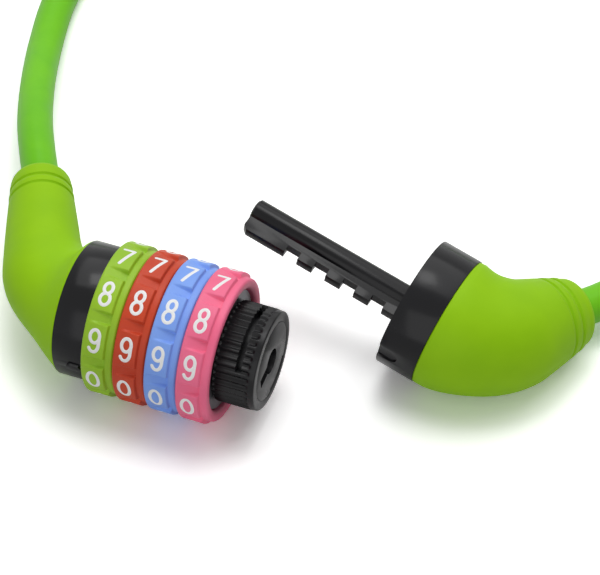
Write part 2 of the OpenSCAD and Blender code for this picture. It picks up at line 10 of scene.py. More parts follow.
import logging
import math
from dataclasses import dataclass
from enum import Enum
from typing import Callable, Sequence

import bmesh
import bpy
from mathutils import Matrix, Vector

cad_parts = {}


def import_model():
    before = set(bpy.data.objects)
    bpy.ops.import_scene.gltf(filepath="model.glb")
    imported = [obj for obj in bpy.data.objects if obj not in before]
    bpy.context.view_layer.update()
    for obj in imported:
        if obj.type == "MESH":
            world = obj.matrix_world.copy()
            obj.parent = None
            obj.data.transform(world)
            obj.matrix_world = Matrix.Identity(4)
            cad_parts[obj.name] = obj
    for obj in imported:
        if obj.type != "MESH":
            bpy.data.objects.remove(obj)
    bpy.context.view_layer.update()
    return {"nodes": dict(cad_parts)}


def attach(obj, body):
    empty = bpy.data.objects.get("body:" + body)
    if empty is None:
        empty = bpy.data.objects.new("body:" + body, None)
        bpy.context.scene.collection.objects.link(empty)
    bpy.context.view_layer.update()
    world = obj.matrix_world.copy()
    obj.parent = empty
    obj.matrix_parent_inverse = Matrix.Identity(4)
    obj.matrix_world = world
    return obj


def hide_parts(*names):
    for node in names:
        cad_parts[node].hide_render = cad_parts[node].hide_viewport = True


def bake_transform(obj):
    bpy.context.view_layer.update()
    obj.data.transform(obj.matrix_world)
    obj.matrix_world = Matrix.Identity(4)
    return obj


LOG = logging.getLogger("cable_lock")
MM = 0.001
TINY = 1e-6

CODE_ANGLE = 96.0
NUMBER_STEP = 36.0
DIAL_COUNT = 4
DIAL_PITCH = 7.7
DIAL_WIDTH = 7.4
LAST_FACE = -9.15
COLLAR_RADIUS = 16.0
LOCK_COLLAR_BACK = -47.55
PLUG_COLLAR_BACK = 9.6
PLUG_AT = Vector((24.0, 28.4, 0.33))
PLUG_LEAN = -15.0
LEAN_AXIS = Vector((0.0, -0.8, 0.6))
PLUG_FRAME = Matrix.Translation(PLUG_AT) @ Matrix.Rotation(math.radians(PLUG_LEAN), 4, LEAN_AXIS)

Pair = tuple[float, float]
Triple = tuple[float, float, float]
Colour = tuple[float, float, float, float]


class Body(Enum):
    """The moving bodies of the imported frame."""

    LOCK = "lock_body"
    SLEEVE = "reset_sleeve"
    DIAL_1 = "dial_1"
    DIAL_2 = "dial_2"
    DIAL_3 = "dial_3"
    DIAL_4 = "dial_4"
    FAR = "cable_far"
    NEAR = "cable_near"
    PLUG = "plug"


class Slot(Enum):
    """The record's material slots, which the new pieces carry."""

    LIME = "lime_rubber"
    BLACK = "black_plastic"
    RIBBED = "ribbed_plastic"
    CABLE = "cable_green"
    BOLT = "bolt_black"
    GREEN = "dial_green"
    RED = "dial_red"
    BLUE = "dial_blue"
    PINK = "dial_pink"


def srgb(red: int, green: int, blue: int) -> Colour:
    """Turn a screen colour, 0 to 255, into the linear colour that a shader takes."""
    parts = [value / 255 for value in (red, green, blue)]
    linear = [p / 12.92 if p <= 0.04045 else ((p + 0.055) / 1.055) ** 2.4 for p in parts]
    return (linear[0], linear[1], linear[2], 1.0)


def smooth(value: float) -> float:
    """Ease a value from 0 to 1."""
    t = min(max(value, 0.0), 1.0)
    return t * t * (3 - 2 * t)


def around(x: float, radius: float, angle: float) -> Vector:
    """Give the point at x and a radius from the lock's axis, at an angle from the top."""
    turn = math.radians(angle)
    return Vector((x, -radius * math.sin(turn), radius * math.cos(turn)))


# ---------------------------------------------------------------- shader nodes


def map_range(
    tree: bpy.types.NodeTree,
    value: bpy.types.NodeSocket,
    span: Pair = (0.0, 1.0),
    limits: Pair = (0.0, 1.0),
) -> bpy.types.NodeSocket:
    """Map a span of a value to two limits.

    Args:
        tree: The nodes to add to.
        value: The output that gives the value.
        span: The values that give the two limits.
        limits: The lowest and highest result.

    Returns:
        The output that carries the result.
    """
    node = tree.nodes.new("ShaderNodeMapRange")
    tree.links.new(value, node.inputs["Value"])
    node.inputs["From Min"].default_value, node.inputs["From Max"].default_value = span
    node.inputs["To Min"].default_value, node.inputs["To Max"].default_value = limits
    return node.outputs["Result"]


def reckon(
    tree: bpy.types.NodeTree,
    operation: str,
    first: bpy.types.NodeSocket,
    second: bpy.types.NodeSocket | float,
) -> bpy.types.NodeSocket:
    """Reckon with two values.

    Args:
        tree: The nodes to add to.
        operation: What is done with the values, such as MULTIPLY.
        first: The output that gives the first value.
        second: The second value, or the output that gives it.

    Returns:
        The output that carries the result.
    """
    node = tree.nodes.new("ShaderNodeMath")
    node.operation = operation
    tree.links.new(first, node.inputs[0])
    if isinstance(second, float):
        node.inputs[1].default_value = second
    else:
        tree.links.new(second, node.inputs[1])
    return node.outputs["Value"]


def background_rays(tree: bpy.types.NodeTree) -> bpy.types.NodeSocket:
    """Add nodes that give 1 to the rays that show the background, and 0 to those that light.

    Returns:
        The output that carries the 1 or 0.
    """
    path = tree.nodes.new("ShaderNodeLightPath")
    rays = path.outputs["Is Camera Ray"]
    for other in ("Is Glossy Ray", "Is Transmission Ray"):
        rays = reckon(tree, "MAXIMUM", rays, path.outputs[other])
    return rays


# ---------------------------------------------------------------- finishes


@dataclass(frozen=True)
class Finish:
    """A moulded, painted or metal surface with grain, mottling and polish of its own.

    Attributes:
        name: The material's name.
        colour: Main colour, linear.
        shade: Colour of its darker mottling, linear.
        roughness: Mean roughness.
        spread: How far the roughness wanders either way.
        grain: Size of the surface grain, in grains per metre.
        bump: Height of the grain, in metres.
        metallic: 1 for bare metal.
        specular: Strength of its reflection.
        clouds: Size of the mottling, in clouds per metre.
        detail: Detail of the mottling and of the grain.
        mottle: The mottling's values at which the colour is all shade and all main.
        polish: The mottling's values at which the surface is smoothest and roughest.
        bump_strength: How much of the grain's slope shows.
    """

    name: str
    colour: Colour
    shade: Colour
    roughness: float
    spread: float
    grain: float
    bump: float
    metallic: float = 0.0
    specular: float = 0.5
    clouds: float = 90.0
    detail: Pair = (3.0, 2.0)
    mottle: Pair = (0.35, 0.6)
    polish: Pair = (0.3, 0.7)
    bump_strength: float = 0.6

    def build(self) -> bpy.types.Material:
        """Build the material's nodes, once.

        Returns:
            The material, ready for a slot.
        """
        known = bpy.data.materials.get(self.name)
        if known is not None:
            return known
        material = bpy.data.materials.new(self.name)
        material.use_nodes = True
        tree = material.node_tree
        shader = tree.nodes["Principled BSDF"]
        shader.inputs["Metallic"].default_value = self.metallic
        shader.inputs["Specular IOR Level"].default_value = self.specular
        place = tree.nodes.new("ShaderNodeTexCoord")
        cloud = self._noise(tree, place, self.clouds, self.detail[0])
        grain = self._noise(tree, place, self.grain, self.detail[1])
        mix = tree.nodes.new("ShaderNodeMix")
        mix.data_type = "RGBA"
        mix.inputs["A"].default_value = self.shade
        mix.inputs["B"].default_value = self.colour
        tree.links.new(map_range(tree, cloud, self.mottle), mix.inputs["Factor"])
        tree.links.new(mix.outputs["Result"], shader.inputs["Base Color"])
        limits = (self.roughness - self.spread, self.roughness + self.spread)
        wander = map_range(tree, cloud, self.polish, limits)
        tree.links.new(wander, shader.inputs["Roughness"])
        bump = tree.nodes.new("ShaderNodeBump")
        bump.inputs["Distance"].default_value = self.bump
        bump.inputs["Strength"].default_value = self.bump_strength
        tree.links.new(grain, bump.inputs["Height"])
        tree.links.new(bump.outputs["Normal"], shader.inputs["Normal"])
        return material

    @staticmethod
    def _noise(
        tree: bpy.types.NodeTree, place: bpy.types.Node, scale: float, detail: float
    ) -> bpy.types.NodeSocket:
        """Add a noise on the piece's own coordinates."""
        noise = tree.nodes.new("ShaderNodeTexNoise")
        noise.inputs["Scale"].default_value = scale
        noise.inputs["Detail"].default_value = detail
        tree.links.new(place.outputs["Object"], noise.inputs["Vector"])
        return noise.outputs["Fac"]


def satin(name: str, colour: Colour, shade: Colour) -> Finish:
    """Give the satin finish of a dial in its own colour."""
    return Finish(
        name, colour, shade, roughness=0.42, spread=0.05, grain=2200, bump=2e-5, specular=0.25
    )


class Finishes:
    """Every finish of the lock."""

    LIME = Finish(
        "lime_boot", srgb(152, 206, 14), srgb(146, 201, 8),
        roughness=0.55, spread=0.05, grain=2600, bump=2e-5, specular=0.16,
    )
    CABLE = Finish(
        "green_jacket", srgb(118, 204, 22), srgb(110, 198, 16),
        roughness=0.4, spread=0.06, grain=500, bump=3e-5, specular=0.2,
    )
    BLACK = Finish(
        "black_collar", srgb(14, 14, 18), srgb(10, 10, 13),
        roughness=0.21, spread=0.05, grain=900, bump=1.2e-5, specular=0.22,
    )
    RIBBED = Finish(
        "black_sleeve", srgb(24, 24, 26), srgb(18, 18, 20),
        roughness=0.3, spread=0.08, grain=1800, bump=2e-5, specular=0.2,
    )
    BOLT = Finish(
        "black_bolt", srgb(13, 13, 16), srgb(10, 10, 12),
        roughness=0.2, spread=0.05, grain=1300, bump=1.5e-5, specular=0.2,
    )
    GREEN = satin("dial_green_soft", srgb(160, 204, 50), srgb(152, 197, 42))
    RED = satin("dial_red_soft", srgb(210, 74, 42), srgb(200, 66, 36))
    BLUE = satin("dial_blue_soft", srgb(134, 174, 252), srgb(126, 166, 246))
    PINK = satin("dial_pink_soft", srgb(254, 120, 156), srgb(248, 112, 148))
    PRINT = Finish(
        "number_white", srgb(252, 252, 252), srgb(246, 246, 246),
        roughness=0.5, spread=0.05, grain=3000, bump=1e-5, specular=0.2,
    )
    PLATE = Finish(
        "plate_grey_satin", srgb(120, 122, 126), srgb(100, 102, 108),
        roughness=0.35, spread=0.08, grain=800, bump=1e-5, metallic=0.6,
    )
    ZINC = Finish(
        "cast_zinc", srgb(176, 178, 182), srgb(160, 162, 168),
        roughness=0.42, spread=0.1, grain=1200, bump=3e-5, metallic=0.9,
    )
    STEEL = Finish(
        "turned_steel", srgb(190, 190, 194), srgb(170, 170, 176),
        roughness=0.3, spread=0.1, grain=2400, bump=1e-5, metallic=1.0,
    )
    BRASS = Finish(
        "turned_brass", srgb(214, 172, 92), srgb(196, 152, 78),
        roughness=0.32, spread=0.08, grain=2400, bump=1e-5, metallic=1.0,
    )


# ---------------------------------------------------------------- mesh tools


def lathe(profile: Sequence[Pair], steps: int) -> bmesh.types.BMesh:
    """Spin a closed profile of (x, radius) points round the lock's axis.

    Args:
        profile: The points, in order.
        steps: Number of steps round the axis.

    Returns:
        The spun mesh, in millimetres, with its normals facing out.
    """
    bm = bmesh.new()
    verts = [bm.verts.new((x, 0.0, radius)) for x, radius in profile]
    edges = [bm.edges.new(pair) for pair in zip(verts, [*verts[1:], verts[0]])]
    bmesh.ops.spin(
        bm,
        geom=verts + edges,
        cent=(0, 0, 0),
        axis=(1, 0, 0),
        angle=2 * math.pi,
        steps=steps,
        use_merge=True,
    )
    bmesh.ops.remove_doubles(bm, verts=bm.verts, dist=1e-5)
    bmesh.ops.recalc_face_normals(bm, faces=bm.faces)
    return bm


def reshape(bm: bmesh.types.BMesh, rule: Callable[[float, float, float], Triple]) -> None:
    """Move every vertex by a rule on its x, radius and angle from the top."""
    for vert in bm.verts:
        x, y, z = vert.co
        radius = math.hypot(y, z)
        if radius < TINY:
            continue
        angle = math.degrees(math.atan2(-y, z))
        vert.co = around(*rule(x, radius, angle))


def sharpen(mesh: bpy.types.Mesh, angle: float) -> None:
    """Shade a mesh smooth, with hard edges only where faces meet at more than an angle."""
    for polygon in mesh.polygons:
        polygon.use_smooth = True
    mesh.set_sharp_from_angle(angle=math.radians(angle))


def make_piece(
    bm: bmesh.types.BMesh,
    name: str,
    finish: Finish,
    body: Body,
    sharp: float,
    node: str = "",
    place: Matrix | None = None,
) -> None:
    """Turn a mesh in millimetres into a finished piece that rides on a body.

    Args:
        bm: The mesh, which is freed.
        name: The piece's name.
        finish: Its surface.
        body: The body that it rides on.
        sharp: Faces that meet at more than this angle keep a hard edge.
        node: The frame's node that it stands for, if any.
        place: Where the mesh goes, in millimetres.
    """
    if place is not None:
        bmesh.ops.transform(bm, matrix=place, verts=bm.verts)
    bmesh.ops.scale(bm, vec=(MM, MM, MM), verts=bm.verts)
    mesh = bpy.data.meshes.new(name)
    bm.to_mesh(mesh)
    bm.free()
    sharpen(mesh, sharp)
    mesh.materials.append(finish.build())
    piece = bpy.data.objects.new(name, mesh)
    bpy.context.scene.collection.objects.link(piece)
    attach(piece, body.value)
    if node:
        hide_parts(node)
    LOG.info("%s: %d faces", name, len(mesh.polygons))


# ---------------------------------------------------------------- camera and stage


@dataclass(frozen=True)
class Lamp:
    """A square soft lamp that looks at the lock, with its place and size in metres."""

    name: str
    place: Triple
    size: float
    power: float
    target: Triple = (0.0, 0.04, 0.0)

    def hang(self) -> None:
        """Hang the lamp and aim it."""
        data = bpy.data.lights.new(self.name, "AREA")
        data.shape = "SQUARE"
        data.size = self.size
        data.energy = self.power
        lamp = bpy.data.objects.new(self.name, data)
        bpy.context.scene.collection.objects.link(lamp)
        lamp.location = self.place
        aim = Vector(self.target) - Vector(self.place)
        lamp.rotation_euler = aim.to_track_quat("-Z", "Y").to_euler()


@dataclass(frozen=True)
class Studio:
    """The camera, the pale floor and the soft lamps.

    Attributes:
        azimuth: Angle of the camera round the lock.
        elevation: Angle of the camera over the floor.
        distance: From the camera to its target.
        focal: Focal length of the lens.
        sensor: Width of the sensor.
        near: Nearest distance that shows.
        target: What the camera looks at.
        floor_z: Height of the floor.
        floor_size: Half the floor's width, in metres.
        floor_polish: Roughness of the floor and strength of its reflection.
        pale: The floor's brightness for light and for what shows.
        bleach: Extra brightness of the floor for the camera.
        fade: Distances, in metres, between which the floor fades to white.
        fade_lift: How much the far floor is lifted.
        glow: The world's brightness for light and for what shows.
        lamps: The lamps.
    """

    azimuth: float = 20.5
    elevation: float = 47.7
    distance: float = 605.0
    focal: float = 155.2
    sensor: float = 36.0
    near: float = 10.0
    target: Triple = (-1.9, 23.6, 0.0)
    floor_z: float = -18.0
    floor_size: float = 3.0
    floor_polish: Pair = (0.6, 0.2)
    pale: Pair = (0.55, 0.96)
    bleach: float = 0.62
    fade: Pair = (0.28, 1.1)
    fade_lift: float = 0.75
    glow: Pair = (0.3, 1.0)
    lamps: tuple[Lamp, ...] = (
        Lamp("soft_lamp", (0.0, 0.42, 0.85), size=1.1, power=5.8),
        Lamp("glint_lamp", (-0.05, 0.2, 0.85), size=0.3, power=1.1),
        Lamp("front_lamp", (0.1, -0.85, 0.32), size=0.8, power=1.8),
    )

    def camera(self) -> None:
        """Place the camera and make it the scene's."""
        a, e = math.radians(self.azimuth), math.radians(self.elevation)
        back = Vector((math.sin(a) * math.cos(e), -math.cos(a) * math.cos(e), math.sin(e)))
        data = bpy.data.cameras.new("studio_camera")
        data.lens = self.focal
        data.sensor_width = self.sensor
        data.clip_start = self.near * MM
        camera = bpy.data.objects.new("studio_camera", data)
        bpy.context.scene.collection.objects.link(camera)
        camera.location = (Vector(self.target) + back * self.distance) * MM
        camera.rotation_euler = (-back).to_track_quat("-Z", "Y").to_euler()
        bpy.context.scene.camera = camera

    def floor(self) -> None:
        """Lay the floor, which shows white near and far and keeps the lock's shadow."""
        bm = bmesh.new()
        bmesh.ops.create_grid(bm, x_segments=2, y_segments=2, size=self.floor_size)
        bmesh.ops.translate(bm, vec=(0, 0, self.floor_z * MM), verts=bm.verts)
        mesh = bpy.data.meshes.new("pale_floor")
        bm.to_mesh(mesh)
        bm.free()
        mesh.materials.append(self._floor_finish())
        floor = bpy.data.objects.new("pale_floor", mesh)
        bpy.context.scene.collection.objects.link(floor)

    def _floor_finish(self) -> bpy.types.Material:
        """Build the floor's material.

        Returns:
            A satin surface that is whiter to what shows than to what lights.
        """
        material = bpy.data.materials.new("pale_floor")
        material.use_nodes = True
        tree = material.node_tree
        shader = tree.nodes["Principled BSDF"]
        shader.inputs["Roughness"].default_value = self.floor_polish[0]
        shader.inputs["Specular IOR Level"].default_value = self.floor_polish[1]
        shown = background_rays(tree)
        tree.links.new(map_range(tree, shown, limits=self.pale), shader.inputs["Base Color"])
        white = tree.nodes.new("ShaderNodeBsdfDiffuse")
        seen = tree.nodes.new("ShaderNodeLightPath").outputs["Is Camera Ray"]
        tree.links.new(reckon(tree, "MULTIPLY", seen, self.bleach), white.inputs["Color"])
        place = tree.nodes.new("ShaderNodeTexCoord")
        reach = tree.nodes.new("ShaderNodeVectorMath")
        reach.operation = "LENGTH"
        tree.links.new(place.outputs["Object"], reach.inputs[0])
        far = map_range(tree, reach.outputs["Value"], self.fade, (0.0, self.fade_lift))
        lift = tree.nodes.new("ShaderNodeEmission")
        tree.links.new(reckon(tree, "MULTIPLY", shown, far), lift.inputs["Strength"])
        surface = shader.outputs["BSDF"]
        for extra in (lift.outputs["Emission"], white.outputs["BSDF"]):
            both = tree.nodes.new("ShaderNodeAddShader")
            tree.links.new(surface, both.inputs[0])
            tree.links.new(extra, both.inputs[1])
            surface = both.outputs["Shader"]
        tree.links.new(surface, tree.nodes["Material Output"].inputs["Surface"])
        return material

    def light(self) -> None:
        """Set the world and the lamps."""
        world = bpy.data.worlds.new("studio_world")
        world.use_nodes = True
        scene = bpy.context.scene
        scene.world = world
        scene.view_settings.view_transform = "Standard"
        tree = world.node_tree
        sky = tree.nodes["Background"]
        sky.inputs["Color"].default_value = (1.0, 1.0, 1.0, 1.0)
        strength = map_range(tree, background_rays(tree), limits=self.glow)
        tree.links.new(strength, sky.inputs["Strength"])
        for lamp in self.lamps:
            lamp.hang()


# ---------------------------------------------------------------- boots

GROOVE_SECTION = ((-1.0, 0.0), (-0.55, 0.7), (-0.2, 1.0), (0.2, 1.0), (0.55, 0.7), (1.0, 0.0))
HOLE_SECTION = ((0.2, 0.25), (0.8, 0.0), (5.6, 0.0), (6.2, 0.7))
MOUTH_STEPS = 8


@dataclass(frozen=True)
class Boot:
    """A soft elbow boot: a bent, swelling tube with two ring grooves and a rounded mouth.

    Its own frame starts at the collar, runs along x and bends towards y. A pair of numbers for
    a spot of the section is a distance along the middle line and a step in radius.

    Attributes:
        name: The piece's name.
        node: The frame's node that it stands for.
        body: The body that it rides on.
        place: Where its own frame stands.
        bend: Angle of the elbow.
        bend_radius: Radius of the middle line in the elbow.
        drop: Angle by which the mouth leans down.
        straight: Length after the elbow.
        mouth: Outside radius at the mouth.
        waist: Outside radius after the flare.
        flare: Reach and power of the swelling up to the collar.
        web_end: Where the fill of the hollow beside the collar ends.
        web_hold: How far before that end the fill starts to turn.
        inner: Inside radius at the collar.
        web: Share of the hollow that is filled.
        web_skin: Depth of the outside layer that the fill moves.
        web_rim: Where the fill starts, with a step in from the collar's radius.
        lead: Length before the elbow.
        edge: Spots of the edge at the collar, with steps in from the collar's radius.
        start: Where the evenly swelling part starts.
        stations: Number of its sections.
        crowding: How much its sections crowd towards the collar.
        under: How much thinner than the collar the boot stays.
        taper: How soon the boot has the mouth's radius, over 1 for before the mouth.
        grooves: Distances of the two grooves from the mouth.
        groove_width: Half a groove's width.
        groove_depth: Depth of a groove.
        groove_land: Plain length between the swelling part and the first groove.
        ridge: The spot behind each groove, from the groove's middle.
        mouth_round: Length of the mouth's rounding.
        mouth_tuck: Its step in radius, as a share of its length.
        hole: Radius of the hole that holds the cable.
        hollow: Share of the length that is hollow, and how much wider than the hole it starts.
        hollow_steps: Number of the hollow's sections.
        crease: Least distance that the inside of the bend keeps from the bend's centre.
        crease_ease: Where that starts, and over what length it grows.
        columns: Number of columns round the boot.
    """

    name: str
    node: str
    body: Body
    place: Matrix
    bend: float
    bend_radius: float
    drop: float
    straight: float
    mouth: float
    waist: float
    flare: Pair
    web_end: float
    web_hold: float
    inner: float
    web: float = 0.75
    web_skin: float = 1.0
    web_rim: Pair = (0.5, 0.4)
    lead: float = 1.0
    edge: tuple[Pair, ...] = ((0.0, 0.45), (0.12, 0.2))
    start: float = 0.4
    stations: int = 42
    crowding: float = 1.25
    under: float = 0.08
    taper: float = 1.04
    grooves: Pair = (8.2, 5.2)
    groove_width: float = 0.55
    groove_depth: float = 0.5
    groove_land: float = 1.2
    ridge: Pair = (1.5, 0.08)
    mouth_round: float = 2.4
    mouth_tuck: float = 0.8
    hole: float = 4.55
    hollow: Pair = (0.55, 2.2)
    hollow_steps: int = 14
    crease: float = 0.35
    crease_ease: Pair = (0.6, 2.0)
    columns: int = 72

    @property
    def length(self) -> float:
        """Length along the middle line."""
        return self.lead + self.bend_radius * math.radians(self.bend) + self.straight

    def swell(self, s: float) -> float:
        """Give the outside radius at a distance from the collar."""
        share = math.cos(math.radians(90 * min(s / self.length * self.taper, 1)))
        reach, power = self.flare
        flare = (COLLAR_RADIUS - self.waist) * math.exp(-((s / reach) ** power))
        return self.mouth + (self.waist - self.mouth) * share + flare

    def skin(self, s: float) -> float:
        """Give the outside radius, kept under the collar's."""
        return min(self.swell(s), COLLAR_RADIUS - self.under)

    def outside(self) -> list[Pair]:
        """List the outside of the section, from the collar to the mouth."""
        total = self.length
        spots = [(s, COLLAR_RADIUS - step) for s, step in self.edge]
        first, last = self.start, total - self.grooves[0] - self.groove_land
        for i in range(self.stations + 1):
            s = first + (last - first) * (i / self.stations) ** self.crowding
            spots.append((s, self.skin(s)))
        for groove in self.grooves:
            for k, depth in GROOVE_SECTION:
                s = total - groove + k * self.groove_width
                spots.append((s, self.swell(s) - depth * self.groove_depth))
            s = total - groove + self.ridge[0]
            spots.append((s, self.swell(s) + self.ridge[1]))
        tuck = self.mouth_round * self.mouth_tuck
        for k in range(MOUTH_STEPS + 1):
            turn = math.radians(90 * k / MOUTH_STEPS)
            s = total - self.mouth_round * (1 - math.sin(turn))
            spots.append((s, self.mouth - tuck * (1 - math.cos(turn))))
        return spots

    def inside(self) -> list[Pair]:
        """List the inside of the section, from the mouth to the collar."""
        spots = [(self.length - back, self.hole + step) for back, step in HOLE_SECTION]
        deep, narrow = self.length * self.hollow[0], self.hole + self.hollow[1]
        for k in range(self.hollow_steps + 1):
            share = k / self.hollow_steps
            spots.append((deep * (1 - share), narrow + (self.inner - narrow) * share))
        return spots

    def along(self, s: float, side: float, up: float) -> Vector:
        """Bend a point of the straight boot onto its curved middle line.

        Args:
            s: Distance along the middle line.
            side: Distance to the outside of the bend.
            up: Height over the middle line.

        Returns:
            The point in the boot's own frame.
        """
        turn = min(max((s - self.lead) / self.bend_radius, 0.0), math.radians(self.bend))
        past = max(s - self.lead - self.bend_radius * math.radians(self.bend), 0.0)
        limit = self.bend_radius - self.crease
        hold = smooth((s - self.crease_ease[0]) / self.crease_ease[1])
        if side < -limit:
            side = side * (1 - hold) - limit * hold
        middle = Vector(
            (
                min(s, self.lead) + self.bend_radius * math.sin(turn) + past * math.cos(turn),
                self.bend_radius * (1 - math.cos(turn)) + past * math.sin(turn),
                0.0,
            )
        )
        return middle + Vector((math.sin(turn), -math.cos(turn), 0.0)) * side + Vector((0, 0, up))

    def fill(self, s: float, y: float, z: float) -> Vector:
        """Give how far a point moves to soften the hollow between the bend and the collar.

        Args:
            s: Distance along the middle line.
            y: Distance to the inside of the bend.
            z: Height over the middle line.

        Returns:
            The move in the boot's own frame.
        """
        radius = math.hypot(y, z)
        outside = self.skin(s)
        in_reach = self.start < s < self.web_end and radius >= outside - self.web_skin
        if y <= 0 or not in_reach:
            return Vector((0.0, 0.0, 0.0))
        turn = math.radians(self.bend)
        first = Vector((self.web_rim[0], COLLAR_RADIUS - self.web_rim[1], 0.0))
        last = self.along(self.web_end, -self.swell(self.web_end), 0.0)
        hold = last - Vector((math.cos(turn), math.sin(turn), 0.0)) * self.web_hold
        u = (s - self.start) / (self.web_end - self.start)
        target = first * (1 - u) ** 2 + hold * (2 * u * (1 - u)) + last * u**2
        return (target - self.along(s, -outside, 0.0)) * (self.web * y / radius)

    def frame(self) -> Matrix:
        """Give the matrix from the boot's own frame to the lock's."""
        return self.place @ Matrix.Rotation(math.radians(-self.drop), 4, "X")

    def cable_point(self, past_mouth: float) -> Vector:
        """Give the point on the cable's line at a distance out of the mouth."""
        return self.frame() @ self.along(self.length + past_mouth, 0.0, 0.0)

    def build(self) -> None:
        """Spin the straight boot, bend it and put it on its collar."""
        bm = lathe(self.outside() + self.inside(), self.columns)
        for vert in bm.verts:
            s, y, z = vert.co
            vert.co = self.along(s, -y, z) + self.fill(s, y, z)
        bmesh.ops.recalc_face_normals(bm, faces=bm.faces)
        make_piece(
            bm,
            self.name,
            Finishes.LIME,
            self.body,
            sharp=50.0,
            node=self.node,
            place=self.frame(),
        )


LOCK_BOOT = Boot(
    "lock_elbow_boot",
    "lock_boot",
    Body.LOCK,
    Matrix.Translation((LOCK_COLLAR_BACK, 0, 0)) @ Matrix.Scale(-1, 4, (1, 0, 0)),
    bend=64.5,
    bend_radius=13.0,
    drop=2.0,
    straight=31.0,
    mouth=7.4,
    waist=10.0,
    flare=(3.8, 1.5),
    web_end=27.0,
    web_hold=6.5,
    inner=8.2,
)
PLUG_BOOT = Boot(
    "plug_elbow_boot",
    "plug_boot",
    Body.PLUG,
    PLUG_FRAME @ Matrix.Translation((PLUG_COLLAR_BACK, 0, 0)),
    bend=62.0,
    bend_radius=16.0,
    drop=4.0,
    straight=17.0,
    mouth=8.6,
    waist=14.8,
    flare=(6.0, 2.4),
    web_end=24.0,
    web_hold=3.5,
    inner=14.2,
)


# ---------------------------------------------------------------- cable


